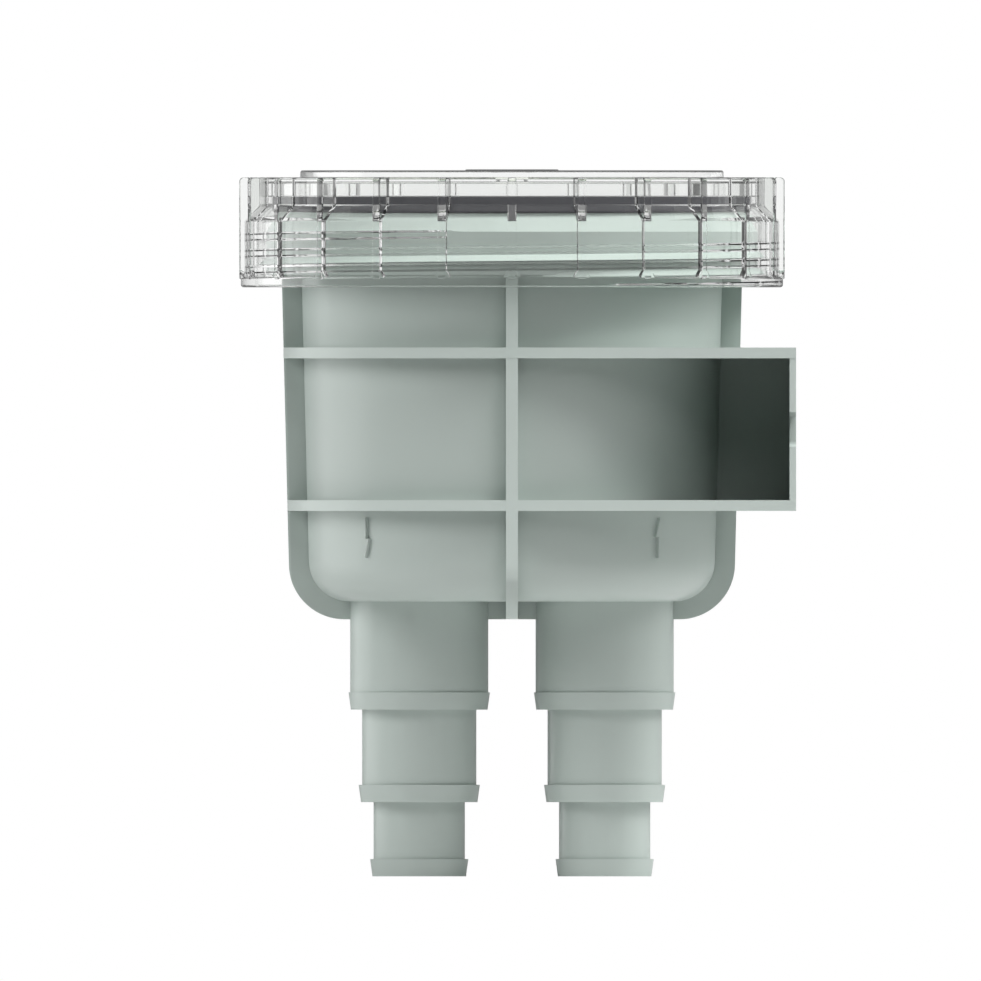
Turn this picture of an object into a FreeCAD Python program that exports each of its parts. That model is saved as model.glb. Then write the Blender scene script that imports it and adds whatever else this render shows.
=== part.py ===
"""Sea water strainer: a ribbed housing with two stepped hose tails, a clear screw cap,
its gasket, and a slotted basket that lifts out.

Every piece is drawn about the tub's own upright axis, with height 0 at the hose tails' tips,
and its Placement then puts the middle of the bracket's mounting face at the origin.
+X points out of the mounting face, +Z up, and -Y is the front.
"""
import FreeCAD, Part
import math
import os
import Sketcher

# Alias, value and meaning of each driving dimension, in millimetres
DRIVING = [
    ("tail_offset", 19.8, "Hose tail axis, sideways from the tub axis"),
    ("tip_radius", 9.75, "Lowest hose size, outside radius"),
    ("mid_radius", 12.2, "Middle hose size, outside radius"),
    ("top_radius", 14.75, "Upper hose size, outside radius"),
    ("collar_height", 3.5, "Height of the barbed collar under each hose size"),
    ("collar_rise", 0.75, "How far a collar's upper edge stands out past its hose size"),
    ("top_collar_rise", 0.35, "The same on the upper collar"),
    ("collar_taper", 0.5, "How much a collar narrows towards its lower edge"),
    ("tip_length", 15.6, "Lowest step, with its collar"),
    ("mid_length", 19.7, "Middle step, with its collar"),
    ("top_length", 23.4, "Upper step, with its collar, up to the tub's floor"),
    ("tip_bore", 7.6, "Bore radius in the lowest step"),
    ("mid_bore", 10.0, "Bore radius in the middle step"),
    ("top_bore", 12.3, "Bore radius in the upper step"),
    ("wall", 2.4, "Wall of the tub, its floor and its shoulder"),
    ("tub_radius", 44.95, "Tub outside radius under the shoulder"),
    ("tub_taper", 1.75, "How much narrower the tub is at its floor, on the radius"),
    ("tub_corner", 8.7, "Rounding of the tub's lower edge, outside"),
    ("tub_height", 69.8, "Tub floor's underside to the shoulder's underside"),
    ("shoulder_width", 7.55, "How far the neck stands out past the tub"),
    ("neck_wall", 4.2, "Neck wall"),
    ("neck_height", 13.2, "Shoulder's underside to the neck's rim"),
    ("rim_chamfer", 0.6, "Chamfer of the neck's upper edges"),
    ("rib_reach", 4.25, "How far the ribs stand out sideways from the tub"),
    ("rib_drop", 4.0, "How far the ribs stand down from the tub's floor"),
    ("rib_thickness", 2.57, "Centre rib and mid-plane flange"),
    ("face_clearance", 2.45, "Mounting face, out past the cap's grip ribs"),
    ("bracket_rise", 36.8, "Tub floor's underside to the bracket's middle"),
    ("bracket_height", 34.9, "Bracket's outside height"),
    ("plate_thickness", 2.3, "Horizontal ribs and bracket plates"),
    ("face_thickness", 1.4, "Bracket's end plate"),
    ("slot_width", 7.6, "Bolt slot's width"),
    ("slot_depth", 16.0, "Bolt slot's depth in from the end plate's edge, round end included"),
    ("standpipe_radius", 12.8, "Standpipe outside radius"),
    ("standpipe_bore", 10.8, "Standpipe inside radius"),
    ("standpipe_drop", 8.9, "Standpipe's mouth, down from the ledge"),
    ("basket_lift", 12.9, "Tub floor to the basket floor's underside"),
    ("basket_wall", 1.6, "Basket wall and floor"),
    ("basket_gap", 3.4, "Gap between basket and tub"),
    ("basket_rim", 2.0, "Basket rim's thickness"),
    ("rim_clearance", 0.5, "Gap round the basket's rim"),
    ("sleeve_clearance", 0.4, "Gap between standpipe and basket sleeve"),
    ("slot_columns", 30, "Columns of slots round the basket"),
    ("mesh_width", 2.4, "Basket slot's width"),
    ("mesh_height", 12.0, "Basket slot's height"),
    ("mesh_web", 3.5, "Web between two rows of slots"),
    ("mesh_margin", 2.5, "Basket floor to the lowest row of slots"),
    ("floor_web", 2.8, "Web between two slots in the basket's floor"),
    ("floor_margin", 4.0, "Basket wall's outside to the ends of the floor's slots"),
    ("bow_width", 7.0, "Lifting bow's width"),
    ("bow_thickness", 2.2, "Lifting bow's thickness"),
    ("bow_rise", 8.6, "Lifting bow's height above the basket's rim"),
    ("bow_spread", 2.0, "How far the bow's feet stand out past the basket's wall"),
    ("bow_rounding", 3.0, "Inside rounding of the bow's corners"),
    ("gasket_height", 3.7, "Gasket's height"),
    ("gasket_width", 3.6, "Gasket's width"),
    ("gasket_clearance", 0.3, "Gap between gasket and cap, inside and outside"),
    ("cap_wall", 2.4, "Cap wall"),
    ("cap_plate", 3.9, "Cap plate above the gasket"),
    ("cap_middle_plate", 2.4, "Cap plate inside the gasket's register"),
    ("thread_room", 2.3, "Room for the thread between neck and cap"),
    ("cap_head_inset", 0.8, "Inside of the cap's upper wall, in from the neck's outside"),
    ("cap_head_height", 6.1, "Height of the cap's upper, narrower wall"),
    ("cap_cone_height", 3.3, "Height of the cone between the two walls"),
    ("cap_height", 23.5, "Cap's top face to its lower edge"),
    ("skirt_height", 2.6, "Height of the ring at the cap's lower edge"),
    ("skirt_rise", 0.7, "How far that ring stands out past the wall"),
    ("cap_rounding", 0.8, "Rounding of the cap's upper edges"),
    ("plateau_inset", 8.9, "Raised middle of the cap, in from its upper wall"),
    ("plateau_height", 1.5, "Raised middle of the cap, height"),
    ("boss_radius", 9.3, "Low round boss in the middle, radius"),
    ("boss_height", 0.2, "Low round boss in the middle, height"),
    ("register_width", 1.8, "Width of the ring that centres the gasket"),
    ("register_height", 2.4, "Height of the ring that centres the gasket"),
    ("grip_count", 24, "Grip ribs round the cap"),
    ("grip_rise", 1.05, "How far the grip ribs stand out past the cap's wall"),
    ("grip_thickness", 1.9, "Grip ribs' thickness"),
    ("grip_foot_width", 3.6, "Width of a grip rib's flared foot at the cap's lower edge"),
]

# Heights above the hose tails' tips, built up from the driving dimensions
MID_STEP = "dims.tip_length"
TOP_STEP = "(dims.tip_length + dims.mid_length)"
TUB_FOOT = "(dims.tip_length + dims.mid_length + dims.top_length)"
TUB_FLOOR = f"({TUB_FOOT} + dims.wall)"
SHOULDER = f"({TUB_FOOT} + dims.tub_height)"
LEDGE = f"({SHOULDER} + dims.wall)"
NECK_RIM = f"({SHOULDER} + dims.neck_height)"
CAP_LAND = f"({NECK_RIM} + dims.gasket_height)"
CAP_TOP = f"({CAP_LAND} + dims.cap_plate)"
CAP_EDGE = f"({CAP_TOP} - dims.cap_height)"
BRACKET_MIDDLE = f"({TUB_FOOT} + dims.bracket_rise)"
BRACKET_FOOT = f"({BRACKET_MIDDLE} - dims.bracket_height / 2)"
BRACKET_HEAD = f"({BRACKET_MIDDLE} + dims.bracket_height / 2)"
STANDPIPE_TOP = f"({LEDGE} - dims.standpipe_drop)"
BASKET_FOOT = f"({TUB_FLOOR} + dims.basket_lift)"
BASKET_FLOOR = f"({BASKET_FOOT} + dims.basket_wall)"

# Radii that follow from the driving dimensions, and the mounting face's distance from the axis
TUB_FOOT_RADIUS = "(dims.tub_radius - dims.tub_taper)"
NECK_RADIUS = "(dims.tub_radius + dims.shoulder_width)"
NECK_BORE = f"({NECK_RADIUS} - dims.neck_wall)"
SLEEVE_BORE = "(dims.standpipe_radius + dims.sleeve_clearance)"
SLEEVE_RADIUS = f"({SLEEVE_BORE} + dims.basket_wall)"
BASKET_RADIUS = "(dims.tub_radius - dims.wall - dims.basket_gap)"
BASKET_FOOT_RADIUS = f"({BASKET_RADIUS} - dims.tub_taper)"
CAP_BORE = f"({NECK_RADIUS} + dims.thread_room)"
CAP_RADIUS = f"({CAP_BORE} + dims.cap_wall)"
CAP_HEAD_BORE = f"({NECK_RADIUS} - dims.cap_head_inset)"
CAP_HEAD_RADIUS = f"({CAP_HEAD_BORE} + dims.cap_wall)"
PLATEAU_RADIUS = f"({CAP_HEAD_RADIUS} - dims.plateau_inset)"
GRIP_RADIUS = f"({CAP_RADIUS} + dims.grip_rise)"
BRACKET_REACH = f"({GRIP_RADIUS} + dims.face_clearance)"
GASKET_RADIUS = f"({CAP_HEAD_BORE} - dims.gasket_clearance)"
GASKET_BORE = f"({GASKET_RADIUS} - dims.gasket_width)"
REGISTER_RADIUS = f"({GASKET_BORE} - dims.gasket_clearance)"

# How far a tool runs past the face that it cuts
OVERCUT = 1.0

# Flat that is left between the two corner arcs of a slot's round end
ROUND_END_FLAT = 0.02


def tub_radius_at(height):
    """Outside radius of the tub's tapered wall at a height."""
    return f"({TUB_FOOT_RADIUS} + dims.tub_taper / dims.tub_height * ({height} - {TUB_FOOT}))"


def rib_reach_at(height):
    """How far from the axis a rib's edge stands at a height."""
    return f"({tub_radius_at(height)} + dims.rib_reach)"


def write_sheet(document):
    sheet = document.addObject("Spreadsheet::Sheet", "dims")
    for row, (alias, value, meaning) in enumerate(DRIVING, start=1):
        sheet.set(f"A{row}", meaning)
        sheet.set(f"B{row}", str(value))
        sheet.setAlias(f"B{row}", alias)
    document.recompute()


def new_body(document, name):
    """An empty body whose Placement carries it from the tub's axis to the mounting face."""
    body = document.addObject("PartDesign::Body", name)
    body.Label = name
    body.setExpression("Placement.Base.x", f"-{BRACKET_REACH}")
    body.setExpression("Placement.Base.z", f"-{BRACKET_MIDDLE}")
    return body


def sketch_on(body, name, plane, along="0", sideways="0"):
    """A sketch on one of the body's origin planes, moved along its normal or sideways."""
    sketch = body.newObject("Sketcher::SketchObject", name)
    planes = [item for item in body.Origin.OriginFeatures if item.Role == plane]
    sketch.AttachmentSupport = (planes[0], "")
    sketch.MapMode = "FlatFace"
    sketch.setExpression("AttachmentOffset.Base.z", along)
    sketch.setExpression("AttachmentOffset.Base.x", sideways)
    return sketch


def pin_point(sketch, geometry, end, across, up):
    """Ties one end of a line, or a point, to two expressions."""
    for kind, expression in (("DistanceX", across), ("DistanceY", up)):
        value = sketch.evalExpression(expression)
        index = sketch.addConstraint(Sketcher.Constraint(kind, -1, 1, geometry, end, value))
        sketch.setExpression(f"Constraints[{index}]", expression)


def size_round(sketch, geometry, radius):
    """Ties the radius of an arc or circle to an expression."""
    value = sketch.evalExpression(radius)
    index = sketch.addConstraint(Sketcher.Constraint("Radius", geometry, value))
    sketch.setExpression(f"Constraints[{index}]", radius)


def round_corner(sketch, before, after, corner, leaving, arriving, radius):
    """Joins two lines by a tangent arc, whose sharp corner stays pinned to its expressions."""
    towards_before = (leaving - corner).normalize()
    towards_after = (arriving - corner).normalize()
    half_angle = towards_before.getAngle(towards_after) / 2
    size = sketch.evalExpression(radius)
    middle = (towards_before + towards_after).normalize() * (size / math.sin(half_angle)) + corner
    begin, finish = leaving - middle, arriving - middle
    turns_left = begin.cross(finish).z > 0
    if not turns_left:
        begin, finish = finish, begin
    circle = Part.Circle(middle, FreeCAD.Vector(0, 0, 1), size)
    arc = sketch.addGeometry(
        Part.ArcOfCircle(circle, math.atan2(begin.y, begin.x), math.atan2(finish.y, finish.x)), False)
    arc_start, arc_end = (1, 2) if turns_left else (2, 1)
    sketch.addConstraint(Sketcher.Constraint("Tangent", before, 2, arc, arc_start))
    sketch.addConstraint(Sketcher.Constraint("Tangent", arc, arc_end, after, 1))
    size_round(sketch, arc, radius)


def draw_outline(sketch, corners):
    """Closed outline through corners given as (across, up) or (across, up, rounding)."""
    count = len(corners)
    points = []
    for corner in corners:
        across, up = (sketch.evalExpression(text) for text in corner[:2])
        points.append(FreeCAD.Vector(across, up, 0))
    line_starts, line_ends = list(points), list(points)
    for index, corner in enumerate(corners):
        if len(corner) == 3:
            point = points[index]
            towards_before = (points[index - 1] - point).normalize()
            towards_after = (points[(index + 1) % count] - point).normalize()
            half_angle = towards_before.getAngle(towards_after) / 2
            setback = sketch.evalExpression(corner[2]) / math.tan(half_angle)
            line_ends[index] = point + towards_before * setback
            line_starts[index] = point + towards_after * setback
    lines = []
    for index in range(count):
        line = Part.LineSegment(line_starts[index], line_ends[(index + 1) % count])
        lines.append(sketch.addGeometry(line, False))
    for index, corner in enumerate(corners):
        before, after = lines[index - 1], lines[index]
        if len(corner) == 2:
            sketch.addConstraint(Sketcher.Constraint("Coincident", before, 2, after, 1))
            pin_point(sketch, after, 1, corner[0], corner[1])
        else:
            mark = sketch.addGeometry(Part.Point(points[index]), True)
            sketch.addConstraint(Sketcher.Constraint("PointOnObject", mark, 1, before))
            sketch.addConstraint(Sketcher.Constraint("PointOnObject", mark, 1, after))
            pin_point(sketch, mark, 1, corner[0], corner[1])
            round_corner(sketch, before, after, points[index],
                         line_ends[index], line_starts[index], corner[2])


def draw_rectangle(sketch, left, bottom, right, top):
    draw_outline(sketch, [(left, bottom), (right, bottom), (right, top), (left, top)])


def turn(body, kind, name, sketch):
    """A revolution or groove about the sketch's upright axis."""
    feature = body.newObject(f"PartDesign::{kind}", name)
    feature.Profile = sketch
    feature.ReferenceAxis = (sketch, ["V_Axis"])
    feature.Angle = 360
    return feature


def extrude(body, kind, name, sketch, length, symmetric=False, reverse=False):
    """A pad or pocket of a sketch, one way or to both sides."""
    feature = body.newObject(f"PartDesign::{kind}", name)
    feature.Profile = sketch
    feature.setExpression("Length", length)
    feature.SideType = "Symmetric" if symmetric else "One side"
    feature.Reversed = reverse
    return feature


def repeat_round(body, name, feature, sketch, count):
    """Repeats a feature round the body's upright axis."""
    pattern = body.newObject("PartDesign::PolarPattern", name)
    pattern.Originals = [feature]
    axes = [item for item in body.Origin.OriginFeatures if item.Role == "Z_Axis"]
    pattern.Axis = (axes[0], [""])
    pattern.Angle = 360
    pattern.setExpression("Occurrences", count)
    body.Tip = pattern
    return pattern


def add_tub(body):
    """Tub with its shoulder and neck, as one turned block that is hollowed later."""
    profile = sketch_on(body, "tub_profile", "XZ_Plane")
    draw_outline(profile, [
        ("0", TUB_FOOT),
        (TUB_FOOT_RADIUS, TUB_FOOT, "dims.tub_corner"),
        ("dims.tub_radius", SHOULDER),
        (NECK_RADIUS, SHOULDER),
        (NECK_RADIUS, f"{NECK_RIM} - dims.rim_chamfer"),
        (f"{NECK_RADIUS} - dims.rim_chamfer", NECK_RIM),
        ("0", NECK_RIM),
    ])
    turn(body, "Revolution", "tub", profile)


def add_upright_ribs(body):
    """Mid-plane flange and centre rib: two crossed plates that follow the tub's outline."""
    foot = f"{TUB_FOOT} - dims.rib_drop"
    rounding = "dims.tub_corner + dims.rib_reach"
    for name, plane in (("flange", "XZ_Plane"), ("centre_rib", "YZ_Plane")):
        outline = sketch_on(body, f"{name}_outline", plane)
        draw_outline(outline, [
            (f"-{rib_reach_at(foot)}", foot, rounding),
            (rib_reach_at(foot), foot, rounding),
            (rib_reach_at(SHOULDER), f"{SHOULDER} + dims.wall / 2"),
            (f"-{rib_reach_at(SHOULDER)}", f"{SHOULDER} + dims.wall / 2"),
        ])
        extrude(body, "Pad", name, outline, "dims.rib_thickness", symmetric=True)


def add_plate(body, name, height, edge):
    """Horizontal rib: half a ring on the left, and on the right a bracket plate."""
    outline = sketch_on(body, f"{name}_outline", "XY_Plane", along=height)
    reach = outline.evalExpression(BRACKET_REACH)
    depth = outline.evalExpression(edge)
    corners = [(0, -depth), (reach, -depth), (reach, depth), (0, depth)]
    points = [FreeCAD.Vector(across, up, 0) for across, up in corners]
    front, end, back = (
        outline.addGeometry(Part.LineSegment(points[index], points[index + 1]), False)
        for index in range(3))
    circle = Part.Circle(FreeCAD.Vector(0, 0, 0), FreeCAD.Vector(0, 0, 1), depth)
    ring = outline.addGeometry(Part.ArcOfCircle(circle, math.pi / 2, math.pi * 3 / 2), False)
    outline.addConstraint(Sketcher.Constraint("Coincident", front, 2, end, 1))
    outline.addConstraint(Sketcher.Constraint("Coincident", end, 2, back, 1))
    outline.addConstraint(Sketcher.Constraint("Coincident", ring, 3, -1, 1))
    outline.addConstraint(Sketcher.Constraint("Tangent", back, 2, ring, 1))
    outline.addConstraint(Sketcher.Constraint("Tangent", ring, 2, front, 1))
    outline.addConstraint(Sketcher.Constraint("Horizontal", front))
    outline.addConstraint(Sketcher.Constraint("Horizontal", back))
    outline.addConstraint(Sketcher.Constraint("Vertical", end))
    size_round(outline, ring, edge)
    index = outline.addConstraint(Sketcher.Constraint("DistanceX", -1, 1, end, 1, reach))
    outline.setExpression(f"Constraints[{index}]", BRACKET_REACH)
    extrude(body, "Pad", name, outline, "dims.plate_thickness")


def add_bracket(body):
    """End plate with the mounting face, its web, and the bolt slots in its two edges."""
    head_reach = rib_reach_at(BRACKET_HEAD)
    foot_reach = rib_reach_at(BRACKET_FOOT)
    outline = sketch_on(body, "end_plate_outline", "YZ_Plane",
                        along=f"{BRACKET_REACH} - dims.face_thickness")
    draw_outline(outline, [
        (f"-{foot_reach}", BRACKET_FOOT),
        (foot_reach, BRACKET_FOOT),
        (head_reach, BRACKET_HEAD),
        (f"-{head_reach}", BRACKET_HEAD),
    ])
    extrude(body, "Pad", "end_plate", outline, "dims.face_thickness")
    web = sketch_on(body, "web_outline", "XZ_Plane")
    draw_rectangle(web, f"{TUB_FOOT_RADIUS} - dims.wall / 2", BRACKET_FOOT,
                   BRACKET_REACH, BRACKET_HEAD)
    extrude(body, "Pad", "bracket_web", web, "dims.rib_thickness", symmetric=True)


def cut_bolt_slots(body):
    """A slot with a half-round end, open at the end plate's front edge and back edge."""
    half_width = "dims.slot_width / 2"
    edge = rib_reach_at(BRACKET_HEAD)
    for name, side in (("front", "-1"), ("back", "1")):
        outline = sketch_on(body, f"{name}_slot_outline", "YZ_Plane",
                            along=f"{BRACKET_REACH} + {OVERCUT}")
        inner = f"{side} * ({edge} - dims.slot_depth)"
        outer = f"{side} * ({edge} + {OVERCUT})"
        lower = f"{BRACKET_MIDDLE} - {half_width}"
        upper = f"{BRACKET_MIDDLE} + {half_width}"
        rounding = f"{half_width} - {ROUND_END_FLAT} / 2"
        draw_outline(outline, [
            (inner, lower, rounding),
            (outer, lower),
            (outer, upper),
            (inner, upper, rounding),
        ])
        extrude(body, "Pocket", f"{name}_slot", outline, f"dims.face_thickness + 2 * {OVERCUT}")


def add_hose_tail(body, name, side):
    """Three hose sizes one above the other, each with a barbed collar at its lower end."""
    profile = sketch_on(body, f"{name}_profile", "XZ_Plane", sideways=f"{side} * dims.tail_offset")
    corners = [("0", "0")]
    steps = (
        ("0", "dims.tip_radius", "dims.collar_rise"),
        (MID_STEP, "dims.mid_radius", "dims.collar_rise"),
        (TOP_STEP, "dims.top_radius", "dims.top_collar_rise"),
    )
    for index, (foot, radius, rise) in enumerate(steps):
        head = steps[index + 1][0] if index < len(steps) - 1 else f"{TUB_FOOT} + dims.wall / 2"
        corners += [
            (f"{radius} + {rise} - dims.collar_taper", foot),
            (f"{radius} + {rise}", f"{foot} + dims.collar_height"),
            (radius, f"{foot} + dims.collar_height"),
            (radius, head),
        ]
    corners.append(("0", f"{TUB_FOOT} + dims.wall / 2"))
    draw_outline(profile, corners)
    turn(body, "Revolution", name, profile)


def hollow_tub(body):
    """Inside of tub and neck, with the ledge that the basket's rim rests on."""
    inner_foot = f"{TUB_FOOT_RADIUS} - dims.wall"
    inner_head = "dims.tub_radius - dims.wall"
    profile = sketch_on(body, "chamber_profile", "XZ_Plane")
    draw_outline(profile, [
        ("0", TUB_FLOOR),
        (inner_foot, TUB_FLOOR, "dims.tub_corner - dims.wall"),
        (inner_head, LEDGE),
        (NECK_BORE, LEDGE),
        (NECK_BORE, f"{NECK_RIM} + {OVERCUT}"),
        ("0", f"{NECK_RIM} + {OVERCUT}"),
    ])
    turn(body, "Groove", "chamber", profile)


def add_standpipe(body):
    """Pipe that carries the inlet water up past the basket's floor to its mouth."""
    profile = sketch_on(body, "standpipe_profile", "XZ_Plane", sideways="dims.tail_offset")
    draw_rectangle(profile, "0", f"{TUB_FOOT} + dims.wall / 2",
                   "dims.standpipe_radius", STANDPIPE_TOP)
    turn(body, "Revolution", "standpipe", profile)


def bore_hose_tail(body, name, side, mouth):
    """Stepped bore up through a hose tail, and on to the corners given for its upper mouth."""
    profile = sketch_on(body, f"{name}_profile", "XZ_Plane", sideways=f"{side} * dims.tail_offset")
    mid_start = f"{MID_STEP} + dims.wall"
    top_start = f"{TOP_STEP} + dims.wall"
    draw_outline(profile, [
        ("0", f"-{OVERCUT}"),
        ("dims.tip_bore", f"-{OVERCUT}"),
        ("dims.tip_bore", mid_start),
        ("dims.mid_bore", mid_start),
        ("dims.mid_bore", top_start),
        ("dims.top_bore", top_start),
        *mouth,
        ("0", mouth[-1][1]),
    ])
    turn(body, "Groove", name, profile)


def make_housing(document):
    """One moulding: tub, neck, ribs, bracket, hose tails and standpipe."""
    body = new_body(document, "housing")
    add_tub(body)
    add_upright_ribs(body)
    add_plate(body, "upper_plate", f"{BRACKET_HEAD} - dims.plate_thickness",
              rib_reach_at(BRACKET_HEAD))
    add_plate(body, "lower_plate", BRACKET_FOOT, rib_reach_at(BRACKET_FOOT))
    add_bracket(body)
    cut_bolt_slots(body)
    add_hose_tail(body, "inlet_tail", "1")
    add_hose_tail(body, "outlet_tail", "-1")
    hollow_tub(body)
    add_standpipe(body)
    bore_hose_tail(body, "inlet_bore", "1", [
        ("dims.top_bore", TUB_FOOT),
        ("dims.standpipe_bore", TUB_FOOT),
        ("dims.standpipe_bore", f"{STANDPIPE_TOP} + {OVERCUT}"),
    ])
    bore_hose_tail(body, "outlet_bore", "-1", [("dims.top_bore", f"{TUB_FLOOR} + {OVERCUT}")])
    return body


def add_basket_shell(body):
    """Floor, tapered wall, and the rim that rests on the housing's ledge."""
    rim_top = f"{LEDGE} + dims.basket_rim"
    rim_radius = f"{NECK_BORE} - dims.rim_clearance"
    profile = sketch_on(body, "shell_profile", "XZ_Plane")
    draw_outline(profile, [
        ("0", BASKET_FOOT),
        (BASKET_FOOT_RADIUS, BASKET_FOOT),
        (BASKET_RADIUS, LEDGE),
        (rim_radius, LEDGE),
        (rim_radius, rim_top),
        (f"{BASKET_RADIUS} - dims.basket_wall", rim_top),
        (f"{BASKET_FOOT_RADIUS} - dims.basket_wall", BASKET_FLOOR),
        ("0", BASKET_FLOOR),
    ])
    turn(body, "Revolution", "shell", profile)


def cut_wall_slots(body):
    """Rows of upright slots, as many as fit under the rim, repeated round the basket."""
    start = f"({BASKET_FOOT_RADIUS} - dims.basket_wall - {OVERCUT})"
    first_row = f"({BASKET_FLOOR} + dims.mesh_margin)"
    pitch = "(dims.mesh_height + dims.mesh_web)"
    outline = sketch_on(body, "wall_slot_outline", "XZ_Plane", along=start)
    rows = outline.evalExpression(f"floor(({LEDGE} - {first_row}) / {pitch})")
    for row in range(int(rows)):
        foot = f"{first_row} + {row} * {pitch}"
        draw_rectangle(outline, "-dims.mesh_width / 2", foot,
                       "dims.mesh_width / 2", f"{foot} + dims.mesh_height")
    slots = extrude(body, "Pocket", "wall_slots", outline, f"{BASKET_RADIUS} + {OVERCUT} - {start}",
                    reverse=True)
    repeat_round(body, "wall_slot_ring", slots, outline, "dims.slot_columns")


def cut_floor_slots(body):
    """Slots across the floor on the side away from the sleeve, as long as the wall lets them be."""
    outline = sketch_on(body, "floor_slot_outline", "XY_Plane", along=f"{BASKET_FLOOR} + {OVERCUT}")
    pitch = "(dims.mesh_width + dims.floor_web)"
    reach = f"({BASKET_FOOT_RADIUS} - dims.floor_margin)"
    count = outline.evalExpression(f"floor({reach} / {pitch})") + 1
    for column in range(int(count)):
        middle = f"{column} * {pitch}"
        half_length = f"sqrt({reach}^2 - ({middle})^2)"
        draw_rectangle(outline, f"-{middle} - dims.mesh_width / 2", f"-{half_length}",
                       f"-{middle} + dims.mesh_width / 2", half_length)
    extrude(body, "Pocket", "floor_slots", outline, f"dims.basket_wall + 2 * {OVERCUT}")


def add_sleeve(body):
    """Sleeve that slides down over the standpipe."""
    outside = sketch_on(body, "sleeve_profile", "XZ_Plane", sideways="dims.tail_offset")
    draw_rectangle(outside, "0", BASKET_FOOT, SLEEVE_RADIUS, STANDPIPE_TOP)
    turn(body, "Revolution", "sleeve", outside)
    bore = sketch_on(body, "sleeve_bore_profile", "XZ_Plane", sideways="dims.tail_offset")
    draw_rectangle(bore, "0", f"{BASKET_FOOT} - {OVERCUT}", SLEEVE_BORE,
                   f"{STANDPIPE_TOP} + {OVERCUT}")
    turn(body, "Groove", "sleeve_bore", bore)


def add_lifting_bow(body):
    """Flat bow from one side of the rim to the other, to lift the basket by."""
    outer = f"({BASKET_RADIUS} + dims.bow_spread)"
    inner = f"({outer} - dims.bow_thickness)"
    bend = f"({outer} - dims.bow_rise)"
    bend_inside = f"{bend} - dims.bow_thickness / 2"
    rim_top = f"({LEDGE} + dims.basket_rim)"
    top = f"({rim_top} + dims.bow_rise)"
    base = f"({rim_top} - dims.basket_rim / 2)"
    outline = sketch_on(body, "bow_outline", "YZ_Plane")
    draw_outline(outline, [
        (f"-{outer}", base),
        (f"-{inner}", base),
        (f"-({bend_inside})", f"{top} - dims.bow_thickness", "dims.bow_rounding"),
        (bend_inside, f"{top} - dims.bow_thickness", "dims.bow_rounding"),
        (inner, base),
        (outer, base),
        (bend, top, "dims.bow_rounding + dims.bow_thickness"),
        (f"-{bend}", top, "dims.bow_rounding + dims.bow_thickness"),
    ])
    extrude(body, "Pad", "lifting_bow", outline, "dims.bow_width", symmetric=True)


def make_basket(document):
    """Slotted basket with a rim, a sleeve round the standpipe and a lifting bow."""
    body = new_body(document, "strainer_basket")
    add_basket_shell(body)
    cut_wall_slots(body)
    cut_floor_slots(body)
    add_sleeve(body)
    add_lifting_bow(body)
    return body


def make_gasket(document):
    """Square-cut rubber ring between the neck's rim and the cap's plate."""
    body = new_body(document, "cap_gasket")
    profile = sketch_on(body, "gasket_profile", "XZ_Plane")
    draw_rectangle(profile, GASKET_BORE, NECK_RIM, GASKET_RADIUS, CAP_LAND)
    turn(body, "Revolution", "gasket", profile)
    return body


def add_cap_shell(body):
    """Cap without its grip ribs: raised plate, narrow wall, cone, wide wall and skirt ring."""
    head_foot = f"({CAP_TOP} - dims.cap_head_height)"
    cone_foot = f"({head_foot} - dims.cap_cone_height)"
    plateau = f"({CAP_TOP} + dims.plateau_height)"
    boss = f"({plateau} + dims.boss_height)"
    skirt_top = f"({CAP_EDGE} + dims.skirt_height)"
    middle_underside = f"({plateau} - dims.cap_middle_plate)"
    register_foot = f"({CAP_LAND} - dims.register_height)"
    register_bore = f"({REGISTER_RADIUS} - dims.register_width)"
    profile = sketch_on(body, "cap_profile", "XZ_Plane")
    draw_outline(profile, [
        ("0", boss),
        ("dims.boss_radius", boss),
        ("dims.boss_radius", plateau),
        (PLATEAU_RADIUS, plateau, "dims.cap_rounding"),
        (PLATEAU_RADIUS, CAP_TOP),
        (CAP_HEAD_RADIUS, CAP_TOP, "dims.cap_rounding"),
        (CAP_HEAD_RADIUS, head_foot),
        (CAP_RADIUS, cone_foot),
        (CAP_RADIUS, skirt_top),
        (f"{CAP_RADIUS} + dims.skirt_rise", skirt_top),
        (f"{CAP_RADIUS} + dims.skirt_rise", CAP_EDGE),
        (CAP_BORE, CAP_EDGE),
        (CAP_BORE, cone_foot),
        (CAP_HEAD_BORE, head_foot),
        (CAP_HEAD_BORE, CAP_LAND),
        (REGISTER_RADIUS, CAP_LAND),
        (REGISTER_RADIUS, register_foot),
        (register_bore, register_foot),
        (register_bore, middle_underside),
        ("0", middle_underside),
    ])
    turn(body, "Revolution", "cap_shell", profile)


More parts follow.
